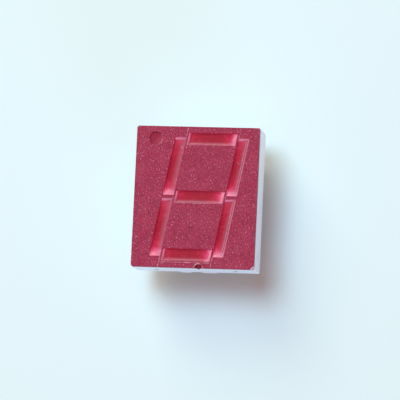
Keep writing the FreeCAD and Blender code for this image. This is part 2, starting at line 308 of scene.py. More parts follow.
class Graph:
    """Adds the nodes of one material or group and links them."""

    def __init__(self, tree: Tree) -> None:
        """Keep the tree that the nodes go into."""
        self.tree = tree

    def add(self, kind: str, inputs: dict | None = None, **settings: object) -> bpy.types.Node:
        """Add a node, set it up and feed its inputs.

        Args:
            kind: The node's type name, without the ShaderNode in front.
            inputs: For each input's name or number, a value or the socket that feeds it.
            settings: Properties of the node itself.

        Returns:
            The new node.
        """
        node = self.tree.nodes.new("ShaderNode" + kind)
        for name, value in settings.items():
            setattr(node, name, value)
        self.feed(node, inputs or {})
        return node

    def feed(self, node: bpy.types.Node, inputs: dict) -> None:
        """Feed some of a node's inputs.

        Args:
            node: The node.
            inputs: For each input's name or number, a value or the socket that feeds it.
        """
        for key, value in inputs.items():
            if isinstance(value, Socket):
                self.tree.links.new(value, node.inputs[key])
            else:
                node.inputs[key].default_value = value

    def math(self, operation: str, *values: object, clamp: bool = False) -> Socket:
        """Work out a number from one to three values or sockets."""
        inputs = dict(enumerate(values))
        return self.add("Math", inputs, operation=operation, use_clamp=clamp).outputs[0]

    def vector(self, operation: str, inputs: dict) -> bpy.types.bpy_prop_collection:
        """Work with vectors, and give the outputs of the node that does it."""
        return self.add("VectorMath", inputs, operation=operation).outputs

    def blend(self, share: object, first: object, second: object) -> Socket:
        """Blend two colours, or the sockets of colours, by a share from 0 to 1."""
        inputs = {0: share, 6: rgba(first), 7: rgba(second)}
        return self.add("Mix", inputs, data_type="RGBA", clamp_factor=True).outputs[2]

    def span(self, value: object, low: float, high: float, to_low: float = 0.0,
             to_high: float = 1.0) -> Socket:
        """Spread the values between low and high smoothly over a new span."""
        inputs = {"Value": value, 1: low, 2: high, 3: to_low, 4: to_high}
        return self.add("MapRange", inputs, interpolation_type="SMOOTHSTEP").outputs[0]

    def ramp(self, value: object,
             stops: Sequence[tuple[float, Colour]]) -> Socket:
        """Turn a value into a colour.

        Args:
            value: The value, or the socket that feeds it.
            stops: A row of values, each with its colour.

        Returns:
            The colour's socket.
        """
        node = self.add("ValToRGB", {"Fac": value})
        elements = node.color_ramp.elements
        while len(elements) < len(stops):
            elements.new(1.0)
        for element, (position, colour) in zip(elements, stops):
            element.position = position
            element.color = rgba(colour)
        return node.outputs["Color"]

    def noise(self, place: Socket, size_mm: float,
              detail: float) -> Socket:
        """Smooth random values whose spots are about size_mm across."""
        inputs = {"Vector": place, "Scale": 1 / (size_mm * MM), "Detail": detail}
        return self.add("TexNoise", inputs).outputs["Fac"]

    def bump(self, heights: Socket, height_mm: float) -> Socket:
        """Turn heights from 0 to 1 into a normal, where a height of 1 is height_mm."""
        inputs = {"Height": heights, "Strength": 1.0, "Distance": height_mm * MM}
        return self.add("Bump", inputs).outputs[0]

    def shade(self, name: str) -> Socket:
        """Read one of the mesh's attributes in SHADES."""
        return self.add("Attribute", attribute_name=name).outputs["Fac"]


class FinishGraph(Graph):
    """Nodes of one material, round its Principled shader."""

    def __init__(self, name: str, constants: dict[str, object]) -> None:
        """Start a material.

        Args:
            name: Name of the material.
            constants: Values that are the same all over, by the shader's sockets.
        """
        self.material = bpy.data.materials.new(name)
        self.material.use_nodes = True
        self.material.node_tree.nodes.clear()
        super().__init__(self.material.node_tree)
        self.shader = self.add("BsdfPrincipled", constants)
        self.add("OutputMaterial", {"Surface": self.shader.outputs[0]})
        self.place = self.add("TexCoord").outputs["Object"]


def rgba(colour: object) -> object:
    """Give a colour its fourth value, and pass a colour's socket on."""
    return colour if isinstance(colour, Socket) else (*colour, 1.0)


@dataclass
class Effects:
    """Shader groups that the finishes share, each built once.

    Attributes:
        grain_stretch: Scale along the grain, which makes its bumps long where it is below 1.
        cell_share: How strongly a fine cell pattern acts on the bumps.
    """

    grain_stretch: float = 0.36
    grain_detail: float = 2.0
    grain_rough: float = 0.55
    cell_share: float = -0.5
    sparkle_distortion: float = 0.4
    sparkle_span: Span = (0.73, 0.79)
    patch_detail: float = 3.0
    patch_rough: float = 0.6

    def __post_init__(self) -> None:
        """Build every group."""
        self.grain = self.build_grain()
        self.smears = self.build_smears()

    @staticmethod
    def start(name: str, inputs: Sequence[str], outputs: Sequence[str]) -> tuple[Graph, dict]:
        """Make an empty group with its sockets.

        Args:
            name: Name of the group.
            inputs: Name of each number that goes in, after Place.
            outputs: Name of each number that comes out.

        Returns:
            The graph of the new group, and the sockets of its inputs by name.
        """
        tree = bpy.data.node_groups.new(name, "ShaderNodeTree")
        tree.interface.new_socket("Place", in_out="INPUT", socket_type="NodeSocketVector")
        for label in inputs:
            tree.interface.new_socket(label, in_out="INPUT", socket_type="NodeSocketFloat")
        for label in outputs:
            tree.interface.new_socket(label, in_out="OUTPUT", socket_type="NodeSocketFloat")
        inner = tree.nodes.new("NodeGroupInput")
        return Graph(tree), {label: inner.outputs[label] for label in ("Place", *inputs)}

    @staticmethod
    def close(graph: Graph, results: dict[str, Socket]) -> Tree:
        """Feed a group's outputs and give the group back."""
        graph.feed(graph.tree.nodes.new("NodeGroupOutput"), results)
        return graph.tree

    def build_grain(self) -> Tree:
        """Spark-eroded grain: short bumps that run one way, and a mask of the few that get painted
        glints and lower roughness.

        Returns:
            The group.
        """
        graph, given = self.start("grain", ("Size", "Turn"), ("Height", "Sparkle"))
        spun = graph.add("VectorRotate", {"Vector": given["Place"], "Angle": given["Turn"]},
                         rotation_type="Z_AXIS").outputs[0]
        stretch = (self.grain_stretch, 1.0, 1.0)
        turned = graph.add("Mapping", {"Vector": spun, "Scale": stretch}).outputs[0]
        spots = {"Vector": turned, "Scale": graph.math("DIVIDE", 1 / MM, given["Size"])}
        bumps = graph.add("TexNoise", {**spots, "Detail": self.grain_detail,
                                       "Roughness": self.grain_rough}).outputs["Fac"]
        cells = graph.add("TexVoronoi", spots, feature="SMOOTH_F1").outputs["Distance"]
        rare = graph.add("TexNoise", {**spots, "Detail": 0.0,
                                      "Distortion": self.sparkle_distortion}).outputs["Fac"]
        height = graph.math("MULTIPLY_ADD", cells, self.cell_share, bumps)
        sparkle = graph.span(rare, *self.sparkle_span)
        return self.close(graph, {"Height": height, "Sparkle": sparkle})

    def build_smears(self) -> Tree:
        """Soft uneven patches, as handling and moulding leave them.

        Returns:
            The group.
        """
        graph, given = self.start("smears", ("Size", "Low", "High"), ("Mask",))
        scale = graph.math("DIVIDE", 1 / MM, given["Size"])
        spots = graph.add("TexNoise", {"Vector": given["Place"], "Scale": scale,
                                       "Detail": self.patch_detail,
                                       "Roughness": self.patch_rough}).outputs["Fac"]
        return self.close(graph, {"Mask": graph.span(spots, given["Low"], given["High"])})

    def patches(self, graph: FinishGraph, size_mm: float,
                span: Span) -> Socket:
        """Mask of soft patches in a material, sharper where the span is narrow."""
        inputs = {"Place": graph.place, "Size": size_mm, "Low": span[0], "High": span[1]}
        return graph.add("Group", inputs, node_tree=self.smears).outputs["Mask"]


@dataclass(frozen=True)
class GrainedFace:
    """Dull crimson face of the plate, as a spark-eroded mould leaves it, with painted shade in the
    grain's pits, painted light on its peaks and painted glints.
    """

    name: str = "grained_face"
    dark: Colour = (0.505, 0.043, 0.112)
    light: Colour = (0.545, 0.057, 0.134)
    # Colour and share of the painted glints on a few grains
    sparkle: Colour = (0.88, 0.40, 0.55)
    painted_glint_share: float = 0.8
    mottle_mm: float = 2.2
    mottle_span: Span = (0.35, 0.65)
    grain_mm: float = 0.088
    grain_turn: float = -1.13
    grain_height_mm: float = 0.075
    grain_span: Span = (0.05, 0.6)
    # Gains of the colour: painted shade in the grain's pits and painted light on its peaks
    painted_pit_shade_and_peak_light: Span = (0.48, 1.13)
    roughness: Span = (0.55, 0.3)
    specular: float = 0.35

    def build(self, effects: Effects) -> Material:
        """Build the material.

        Args:
            effects: The shared shader groups.

        Returns:
            The new material.
        """
        graph = FinishGraph(self.name, {"Specular IOR Level": self.specular})
        inputs = {"Place": graph.place, "Size": self.grain_mm, "Turn": self.grain_turn}
        grain = graph.add("Group", inputs, node_tree=effects.grain).outputs
        mottle = effects.patches(graph, self.mottle_mm, self.mottle_span)
        tone = graph.blend(mottle, self.dark, self.light)
        # Painted shade in the pits and painted light on the peaks
        gain = graph.span(grain["Height"], *self.grain_span, *self.painted_pit_shade_and_peak_light)
        toned = graph.vector("SCALE", {0: tone, "Scale": gain})[0]
        # Painted glints on the grains that sparkle
        share = graph.math("MULTIPLY", grain["Sparkle"], self.painted_glint_share)
        graph.feed(graph.shader, {
            "Base Color": graph.blend(share, toned, self.sparkle),
            "Roughness": graph.span(grain["Sparkle"], 0.0, 1.0, *self.roughness),
            "Normal": graph.bump(grain["Height"], self.grain_height_mm)})
        return graph.material


@dataclass(frozen=True, kw_only=True)
class Finish(ABC):
    """Surface in soft patches, which its roughness follows, under fine ripples."""

    name: str
    patch_mm: float
    patch_span: Span = (0.35, 0.65)
    roughness: Span
    specular: float = 0.5
    ripple_mm: float
    ripple_detail: float = 1.0
    ripple_height_mm: float

    @abstractmethod
    def colour(self, graph: FinishGraph, mask: Socket) -> Socket:
        """Work out the colour from the mask of the patches."""

    def constants(self) -> dict[str, object]:
        """Values that are the same all over the surface, by the shader's sockets."""
        return {"Specular IOR Level": self.specular}

    def build(self, effects: Effects) -> Material:
        """Build the material.

        Args:
            effects: The shared shader groups.

        Returns:
            The new material.
        """
        graph = FinishGraph(self.name, self.constants())
        mask = effects.patches(graph, self.patch_mm, self.patch_span)
        ripples = graph.noise(graph.place, self.ripple_mm, self.ripple_detail)
        graph.feed(graph.shader, {
            "Base Color": self.colour(graph, mask),
            "Roughness": graph.span(mask, 0.0, 1.0, *self.roughness),
            "Normal": graph.bump(ripples, self.ripple_height_mm)})
        return graph.material


@dataclass(frozen=True, kw_only=True)
class GlossyWindow(Finish):
    """Polished red window: deep in its middle, rosy at its ends, where the white shows through.
    Light, shade and sheen are painted into it by the attributes in SHADES.
    """

    name: str = "glossy_window"
    # Colours from the deep middle to the painted light of the lit ends
    stops: tuple[tuple[float, Colour], ...] = (
        (0.0, (0.36, 0.005, 0.024)), (0.4, (0.45, 0.007, 0.034)), (0.72, (0.60, 0.020, 0.075)),
        (0.92, (0.78, 0.100, 0.23)), (1.0, (0.86, 0.25, 0.38)))
    # Painted light that lifts the near side, which lies in its wall's shade, and slight painted
    # shade on the far side
    near_gain: float = 1.22
    far_gain: float = 0.98
    gain_reach: float = 0.75
    drift: float = 0.12
    # Colour of the painted sheen, a painted reflection of the lamps
    painted_sheen: Colour = (0.66, 0.28, 0.425)
    patch_mm: float = 1.1
    roughness: Span = (0.20, 0.28)
    specular: float = 0.3
    depth_weight: float = 0.6
    depth_mm: float = 0.5
    depth_reach: Colour = (1.0, 0.12, 0.1)
    ripple_mm: float = 0.5
    ripple_height_mm: float = 0.004

    def constants(self) -> dict[str, object]:
        """Add the light that spreads inside the tinted plastic."""
        return super().constants() | {"Subsurface Weight": self.depth_weight,
                                      "Subsurface Radius": self.depth_reach,
                                      "Subsurface Scale": self.depth_mm * MM}

    def colour(self, graph: FinishGraph, mask: Socket) -> Socket:
        """Paint light, shade and sheen into the window by the attributes of its mesh.

        Args:
            graph: The material's graph.
            mask: Mask of the patches, where the painted light drifts a little.

        Returns:
            The colour's socket.
        """
        across, painted_light, painted_sheen = (graph.shade(name) for name in SHADES)
        tint = graph.ramp(graph.math("MULTIPLY_ADD", mask, self.drift, painted_light), self.stops)
        gain = graph.add("MapRange", {"Value": across, 1: 0.0, 2: self.gain_reach,
                                      3: self.near_gain, 4: self.far_gain}).outputs[0]
        lit = graph.vector("SCALE", {0: tint, "Scale": gain})[0]
        return graph.blend(painted_sheen, lit, self.painted_sheen)


@dataclass(frozen=True, kw_only=True)
class PointFloor(GlossyWindow):
    """Duller red of the decimal point, with painted light that pales it towards the lamps and
    painted shade away from them.
    """

    name: str = "point_floor"
    stops: tuple[tuple[float, Colour], ...] = (
        (0.0, (0.38, 0.005, 0.033)), (0.12, (0.40, 0.012, 0.045)), (0.24, (0.40, 0.032, 0.076)),
        (0.5, (0.35, 0.021, 0.063)), (0.86, (0.44, 0.065, 0.130)), (1.0, (0.84, 0.36, 0.46)))
    near_gain: float = 1.0
    far_gain: float = 1.0
    roughness: Span = (0.35, 0.5)


@dataclass(frozen=True, kw_only=True)
class TwoTone(Finish):
    """Surface whose patches have a second colour."""

    ground: Colour
    patches: Colour

    def colour(self, graph: FinishGraph, mask: Socket) -> Socket:
        """Blend the two colours by the mask of the patches."""
        return graph.blend(mask, self.ground, self.patches)


@dataclass(frozen=True, kw_only=True)
class MouldFlash(TwoTone):
    """Smooth paler red of the thin flash where mould inserts meet. Its pale patches are partly a
    painted highlight along the raised lines and rings.
    """

    name: str = "mould_flash"
    ground: Colour = (0.50, 0.09, 0.16)
    # Pale pink, partly a painted highlight
    patches: Colour = (0.88, 0.50, 0.58)
    patch_mm: float = 0.35
    patch_span: Span = (0.42, 0.62)
    roughness: Span = (0.35, 0.22)
    ripple_mm: float = 0.1
    ripple_height_mm: float = 0.006


@dataclass(frozen=True, kw_only=True)
class InsertTrim(TwoTone):
    """Red of the fine rim round a window: deep on the side under the lamp, with painted sheen that
    pales it opposite.
    """

    name: str = "insert_trim"
    ground: Colour = (0.33, 0.008, 0.036)
    patches: Colour = (0.50, 0.09, 0.16)
    patch_mm: float = 0.35
    painted_sheen_gain: float = 2.2
    painted_sheen_in_patches: Span = (0.55, 1.0)
    roughness: Span = (0.6, 0.45)
    specular: float = 0.12
    ripple_mm: float = 0.1
    ripple_height_mm: float = 0.006

    def colour(self, graph: FinishGraph, mask: Socket) -> Socket:
        """Pale the rim unevenly with painted sheen where the window's painted sheen lies beside it.

        Args:
            graph: The material's graph.
            mask: Mask of the patches.

        Returns:
            The colour's socket.
        """
        # Painted sheen of the window beside the rim, also painted on the rim
        painted_sheen = graph.math("MULTIPLY", graph.shade("painted_sheen"), self.painted_sheen_gain, clamp=True)
        patchy = graph.span(mask, 0.0, 1.0, *self.painted_sheen_in_patches)
        return super().colour(graph, graph.math("MULTIPLY", painted_sheen, patchy))


@dataclass(frozen=True, kw_only=True)
class GateBreak(TwoTone):
    """Glassy dark red of the gate's broken stub."""

    name: str = "gate_break"
    ground: Colour = (0.17, 0.004, 0.016)
    patches: Colour = (0.34, 0.012, 0.045)
    patch_mm: float = 0.3
    roughness: Span = (0.1, 0.25)
    ripple_mm: float = 0.2
    ripple_height_mm: float = 0.02


@dataclass(frozen=True, kw_only=True)
class WhitePlastic(TwoTone):
    """White filled plastic of the housing, a little grey where it has been handled."""

    name: str = "white_plastic"
    ground: Colour = (0.87, 0.92, 0.96)
    patches: Colour = (0.80, 0.84, 0.88)
    patch_mm: float = 2.5
    patch_span: Span = (0.45, 0.8)
    roughness: Span = (0.38, 0.5)
    ripple_mm: float = 0.12
    ripple_detail: float = 2.0
    ripple_height_mm: float = 0.003
    tie_bar_dark: Colour = (0.27, 0.27, 0.31)
    tie_bar_dark_place: Triple = (5.68, 10.0, 7.5)
    tie_bar_dark_reach: Triple = (0.36, 0.3, 0.62)
    tie_bar_dark_fade: Span = (0.3, 1.0)

    def colour(self, graph: FinishGraph, mask: Socket) -> Socket:
        """Darken the plain plastic round the tie bars."""
        plain = super().colour(graph, mask)
        return graph.blend(self.darken_round_tie_bars(graph), plain, self.tie_bar_dark)

    def darken_round_tie_bars(self, graph: FinishGraph) -> Socket:
        """Mask the darker plastic round the two tie bars that end in the top wall.

        Args:
            graph: The material's graph.

        Returns:
            The mask's socket.
        """
        x, y, z = graph.add("SeparateXYZ", {0: graph.place}).outputs
        both_sides = graph.add("CombineXYZ", {0: graph.math("ABSOLUTE", x), 1: y, 2: z})
        centre, reach = (tuple(value * MM for value in sizes)
                         for sizes in (self.tie_bar_dark_place, self.tie_bar_dark_reach))
        offset = graph.vector("SUBTRACT", {0: both_sides.outputs[0], 1: centre})[0]
        share = graph.vector("DIVIDE", {0: offset, 1: reach})[0]
        length = graph.vector("LENGTH", {0: share})["Value"]
        return graph.span(length, *self.tie_bar_dark_fade, 1.0, 0.0)


@dataclass(frozen=True, kw_only=True)
class CastResin(TwoTone):
    """Cloudy epoxy that closes the rear."""

    name: str = "cast_resin"
    ground: Colour = (0.66, 0.62, 0.52)
    patches: Colour = (0.78, 0.76, 0.70)
    patch_mm: float = 4.0
    roughness: Span = (0.12, 0.3)
    ripple_mm: float = 1.8
    ripple_height_mm: float = 0.03


@dataclass(frozen=True, kw_only=True)
class Metal(TwoTone):
    """Bare or plated metal with a slightly uneven sheen."""

    patch_mm: float = 0.9
    roughness: Span = (0.28, 0.48)
    ripple_mm: float = 0.15
    ripple_detail: float = 2.0
    ripple_height_mm: float = 0.002

    def constants(self) -> dict[str, object]:
        """Make the surface metallic all over."""
        return super().constants() | {"Metallic": 1.0}


@dataclass(frozen=True)
class Outside:
    """Outside of the plate, in millimetres. Its middle lies over the frame's origin."""

    half_width: float
    half_height: float
    back_z: float
    face_z: float

    @classmethod
    def of_node(cls, node: str) -> "Outside":
        """Take it from a node's box in the frame, whose top is the gate's stub, not the edge."""
        low, high = (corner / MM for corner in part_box(node))
        return cls(high.x, -low.y, low.z, high.z)


@dataclass(frozen=True)
class Window:
    """One glossy recess of the digit, measured on the digit's middle line."""

    name: str
    run: Run
    x: float
    y: float
    width: float
    height: float

    @property
    def centre(self) -> Vector:
        """Middle of the window, at height 0."""
        return Vector((self.x, self.y, 0))

    @property
    def half(self) -> Vector:
        """Half its width and half its height."""
        return Vector((self.width / 2, self.height / 2, 0))

    @property
    def along(self) -> Vector:
        """Direction in which it runs, before it leans."""
        return Vector(self.run.value)


@dataclass(frozen=True)
class Digit:
    """Layout of the digit's seven windows. Sizes are in millimetres."""

    height: float = 18.1
    slant_deg: float = 10.0
    x: float = -0.6
    column_pitch: float = 9.0
    upright_width: float = 1.52
    upright_end_setback: float = 0.65
    upright_gap: float = 0.55
    bar_width: float = 1.65
    bar_end_gap: float = 0.31

    @property
    def slant(self) -> float:
        """How far a point moves along X for each millimetre of its Y."""
        return math.tan(math.radians(self.slant_deg))

    @property
    def columns_end(self) -> float:
        """Y at which both columns end at the top."""
        return self.height / 2 - self.upright_end_setback

    def windows(self) -> list[Window]:
        """Lay the windows out.

        Returns:
            The seven windows, named by their usual letters.
        """
        bar_length = self.column_pitch - self.upright_width - 2 * self.bar_end_gap
        bar_y = (self.height - self.bar_width) / 2
        length = self.columns_end - self.upright_gap / 2
        upright_y = (self.columns_end + self.upright_gap / 2) / 2
        left, right = self.x - self.column_pitch / 2, self.x + self.column_pitch / 2
        bars = {"a": bar_y, "g": 0.0, "d": -bar_y}
        uprights = {"b": (right, upright_y), "c": (right, -upright_y),
                    "e": (left, -upright_y), "f": (left, upright_y)}
        found = [Window(name, Run.BAR, self.x, y, bar_length, self.bar_width)
                 for name, y in bars.items()]
        found += [Window(name, Run.UPRIGHT, x, y, self.upright_width, length)
                  for name, (x, y) in uprights.items()]
        return found


@dataclass(frozen=True)
class Shading:
    """How a window's painted light and painted sheen change towards its ends and across. Lengths
    are in millimetres.

    The near end and side are those under the lamps.
    """

    far_fade: float
    near_painted_light: float
    near_fade: float
    edge_painted_light: float
    edge_fade: float
    near_painted_sheen: float
    painted_sheen_fade: float
    base_painted_sheen: float
    painted_sheen_start: float
    far_painted_light: float = 1.2
    side_painted_sheen: float = 0.36

    def at(self, across: float, far: float, near: float) -> Triple:
        """Work out the painted light and sheen of one point of a window.

        Args:
            across: How far across it lies from the near side, from 0 to 1.
            far: Its distance from the far end.
            near: Its distance from the near end.

        Returns:
            The values of the attributes in SHADES: how far across it lies, how much painted light
            it gets and how much painted sheen lies over it.
        """
        # Painted light, strongest towards the ends
        painted_light = max(self.far_painted_light * math.exp(-far / self.far_fade),
                   self.near_painted_light * math.exp(-near / self.near_fade),
                   self.edge_painted_light * math.exp(-near / self.edge_fade))
        # Painted sheen, rising towards the far side and towards the near end
        rise = max(across - self.painted_sheen_start, 0.0) / (1 - self.painted_sheen_start)
        painted_sheen = max(self.base_painted_sheen + self.side_painted_sheen * rise * rise * (3 - 2 * rise),
                   self.near_painted_sheen * math.exp(-near / self.painted_sheen_fade))
        return across, painted_light, painted_sheen


@dataclass(frozen=True)
class Recess:
    """Recess of a window and the fine rim round it. Sizes are in millimetres.

    Attributes:
        dish_strips: In how many strips the floor is divided across.
        wall_rows: After how many rows of the floor the walls and the rim are divided too.
    """

    face_z: float
    slant: float
    depth: float = 0.22
    side_draft_deg: float = 20.0
    end_slope_deg: float = 48.0
    dish_depth: float = 0.09
    dish_strips: int = 12
    wall_rows: int = 4
    wall_corner: float = 0.07
    floor_fillet: float = 0.07
    rim_width: float = 0.10
    rim_height: float = 0.035
    rim_round: float = 0.028
    # Painted light and painted sheen of the windows of each run
    shading: dict[Run, Shading] = field(default_factory=lambda: {
        Run.UPRIGHT: Shading(far_fade=2.1, near_painted_light=0.68, near_fade=3.8, edge_painted_light=1.65,
                             edge_fade=0.40, near_painted_sheen=0.18, painted_sheen_fade=1.8, base_painted_sheen=0.04,
                             painted_sheen_start=0.25),
        Run.BAR: Shading(far_fade=1.5, near_painted_light=0.58, near_fade=2.6, edge_painted_light=1.3,
                         edge_fade=0.36, near_painted_sheen=0.10, painted_sheen_fade=0.5, base_painted_sheen=0.07,
                         painted_sheen_start=0.62)})

    @property
    def floor_z(self) -> float:
        """Height of the floor where it isn't dished."""
        return self.face_z - self.depth

    @property
    def draft(self) -> float:
        """How far a wall along a window's side runs inwards for each millimetre down."""
        return math.tan(math.radians(self.side_draft_deg))

    @property
    def end_slope(self) -> float:
        """How far a wall at a window's end runs inwards for each millimetre down."""
        return math.tan(math.radians(self.end_slope_deg))

    def slopes(self, window: Window) -> Span:
        """How far a window's walls run inwards along X and along Y, for each millimetre down."""
        upright = window.run is Run.UPRIGHT
        return (self.draft, self.end_slope) if upright else (self.end_slope, self.draft)

    def measure(self, window: Window) -> Triple:
        """Measure the flat floor of a window.

        Args:
            window: The window.

        Returns:
            Half the floor's width, half its length and the width of a strip of its dish.
        """
        short, long = sorted((window.width, window.height))
        half = short / 2 - self.depth * self.draft - self.floor_fillet
        reach = long / 2 - self.depth * self.end_slope - self.floor_fillet
        return half, reach, 2 * half / self.dish_strips

    def tool(self, window: Window) -> Piece:
        """Model the solid that a window's recess leaves empty.

        Args:
            window: The window's place and size on the face.

        Returns:
            A leaning tool with steep sides, sloping ends, a filleted floor and a shallow dish.
        """
        slope_x, slope_y = self.slopes(window)
        low = window.centre - window.half + Vector((0, 0, self.floor_z))
        high = window.centre + window.half + Vector((0, 0, self.face_z + OVERRUN))
        tool = block("window_" + window.name, low, high)
        with editing(tool):
            for up, rise in ((-1, -self.depth), (1, OVERRUN)):
                pick(tool, Element.FACE, lambda f, s=up: s * f.normal.z > LEVEL)
                ratio = (1 + 2 * rise * slope_x / window.width,
                         1 + 2 * rise * slope_y / window.height, 1)
                bpy.ops.transform.resize(value=ratio, center_override=window.centre)
            bevel(tool, lambda e: abs(e.verts[0].co.z - e.verts[1].co.z) > NEAR,
                  self.wall_corner, segments=2)
            bevel(tool, below(self.floor_z + NEAR), self.floor_fillet, segments=6)
        self.dish(tool, window)
        lean(tool, self.slant)
        return tool

    def dish(self, tool: Piece, window: Window) -> None:
        """Push a window's floor down in a shallow trough along its middle.

        Args:
            tool: The window's tool, before it leans.
            window: The window that it cuts.
        """
        along = window.along
        across = Vector((1, 1, 0)) - along
        middle = window.centre + Vector((0, 0, self.floor_z))
        half, reach, strip = self.measure(window)

        def on_floor(face: bmesh.types.BMFace) -> bool:
            """Say whether a face is part of the flat floor."""
            return face.normal.z < -LEVEL and face.calc_center_median().z < self.floor_z + NEAR

        def on_line(vertex: bmesh.types.BMVert) -> bool:
            """Say whether a point lies on the floor's middle line."""
            place = vertex.co - middle
            return (abs(place.dot(across)) < NEAR and abs(place.z) < NEAR
                    and abs(place.dot(along)) < reach + NEAR)

        with editing(tool):
            for normal, count in ((across, self.dish_strips // 2 - 1), (along, int(reach / strip))):
                for i in range(-count, count + 1):
                    if normal is along and i % self.wall_rows == 0:
                        bpy.ops.mesh.select_all(action="SELECT")
                    else:
                        pick(tool, Element.FACE, on_floor)
                    bpy.ops.mesh.bisect(plane_co=middle + normal * (i * strip), plane_no=normal)
            pick(tool, Element.FACE, on_floor)
            bpy.ops.mesh.hide(unselected=True)
            pick(tool, Element.VERTEX, on_line)
            bpy.ops.transform.translate(
                value=(0, 0, -self.dish_depth), use_proportional_edit=True,
                proportional_edit_falloff="SPHERE", proportional_size=half)
            bpy.ops.mesh.reveal()

    def rim(self, window: Window) -> Piece:
        """Model a low pad round a window. Cutting the window leaves its rim as the insert's flash.

        Args:
            window: The window that the pad lies round.

        Returns:
            The leaning pad.
        """
        slope_x, slope_y = self.slopes(window)
        half = Vector((window.width / 2 + self.rim_width + self.rim_height * slope_x,
                       window.height / 2 + self.rim_width + self.rim_height * slope_y, 0))
        centre = window.centre + Vector((0, 0, self.face_z))
        pad = block("rim", centre - half - Vector((0, 0, self.rim_width)),
                    centre + half + Vector((0, 0, self.rim_height)))
        reach, strip = self.measure(window)[1:]
        step = strip * self.wall_rows
        with editing(pad):
            bevel(pad, above(self.face_z + NEAR), self.rim_round, segments=2)
            for i in range(-int(reach / step) - 1, int(reach / step) + 1):
                slice_all(centre + window.along * ((i + 0.5) * step), window.along)
        lean(pad, self.slant)
        return pad

    def shades(self, window: Window, place: Vector) -> Triple:
        """Work out the painted light and sheen of a point of a window.

        Args:
            window: The window.
            place: X and Y of the point from the window's middle, before it leans.

        Returns:
            The values of the attributes in SHADES.
        """
        u, v = place.x / window.width, place.y / window.height
        side, end = (-u, v) if window.run is Run.UPRIGHT else (v, -u)
        long = max(window.width, window.height)
        across = min(max(0.5 + side, 0.0), 1.0)
        return self.shading[window.run].at(across, max(0.5 - end, 0.0) * long,
                                           max(0.5 + end, 0.0) * long)


@dataclass(frozen=True)
class DecimalPoint:
    """Shallow round recess of the decimal point. Sizes are in millimetres.

    Attributes:
        floor_start: How far inside the recess's edge its floor starts.
        floor_share: How strongly the floor pales towards the lamps.
        wall_share: How strongly the wall does.
    """

    outside: Outside
    diameter: float = 1.95
    side_inset: float = 2.78
    end_inset: float = 1.76
    depth: float = 0.2
    wall: float = 0.05
    floor_start: float = 0.04
    floor_share: float = 0.4
    wall_share: float = 0.85

    @property
    def middle(self) -> Vector:
        """X and Y of its middle."""
        return Vector((self.outside.half_width - self.side_inset,
                       self.end_inset - self.outside.half_height))

    def tool(self) -> Piece:
        """Model the solid that the recess leaves empty.

        Returns:
            The tool.
        """
        height = self.depth + OVERRUN
        floor_z = self.outside.face_z - self.depth
        tool = shape(bpy.ops.mesh.primitive_cylinder_add, (*self.middle, floor_z + height / 2),
                     vertices=64, radius=self.diameter / 2, depth=height)
        with editing(tool):
            bevel(tool, below(floor_z + NEAR), self.wall, segments=3)
        return tool

    def painted_light(self, place: Vector) -> float:
        """Work out how much painted light a point of the recess gets.

        Args:
            place: X and Y of the point from the recess's middle.

        Returns:
            A value from 0, away from the lamps, to 1, towards them.
        """
        radius = self.diameter / 2
        on_floor = place.length < radius - self.floor_start
        share = self.floor_share if on_floor else self.wall_share
        towards_lamps = place.dot(Vector((-1, 1)).normalized()) / radius
        return min(max(0.5 + share * towards_lamps, 0.0), 1.0)


@dataclass(frozen=True)
class Gate:
    """Notch in the plate's top edge, where it was filled, with its bead and its broken stub.

    Sizes are in millimetres.
    """

    outside: Outside
    recess: Recess
    edge_radius: float
    x: float = -0.9
    notch_radius: float = 0.55
    notch_depth: float = 0.35
    stub_radius: float = 0.42
    stub_reach: float = 0.15
    stub_unevenness: float = 0.04

    def disc(self, radius: float, low_z: float, high_z: float) -> Piece:
        """Add a round block centred on the gate, between two heights."""
        return shape(bpy.ops.mesh.primitive_cylinder_add,
                     (self.x, self.outside.half_height, (low_z + high_z) / 2),
                     vertices=48, radius=radius, depth=high_z - low_z)

    def bead(self) -> Piece:
        """Model the low bead round the notch.

        Returns:
            The bead, as a disc that ends at the plate's rounded edge.
        """
        recess, face_z = self.recess, self.outside.face_z
        bead = self.disc(self.notch_radius + recess.rim_width, face_z - recess.rim_width,
                         face_z + recess.rim_height)
        with editing(bead):
            bevel(bead, above(face_z + NEAR), recess.rim_round, segments=2)
            slice_all((0, self.outside.half_height - self.edge_radius, 0), (0, 1, 0),
                      clear_outer=True, use_fill=True)
        return bead

    def cut(self, plate: Piece, flash: Material, broken: Material) -> None:
        """Cut the notch into the top edge and leave the broken stub in it.

        Args:
            plate: The plate, in millimetres.
            flash: Finish of the bead.
            broken: Finish of the notch and the stub.
        """
        outside = self.outside
        notch = self.disc(self.notch_radius, outside.face_z - self.notch_depth,
                          outside.face_z + OVERRUN)
        middle = (self.x, outside.half_height + self.stub_reach - self.stub_radius,
                  (outside.back_z + outside.face_z) / 2)
        stub = lump(middle, self.stub_radius, self.stub_unevenness, fineness=3)
        combine(plate, self.bead(), Solid.JOIN, flash)
        combine(plate, notch, Solid.CUT, broken)
        combine(plate, stub, Solid.JOIN, broken)


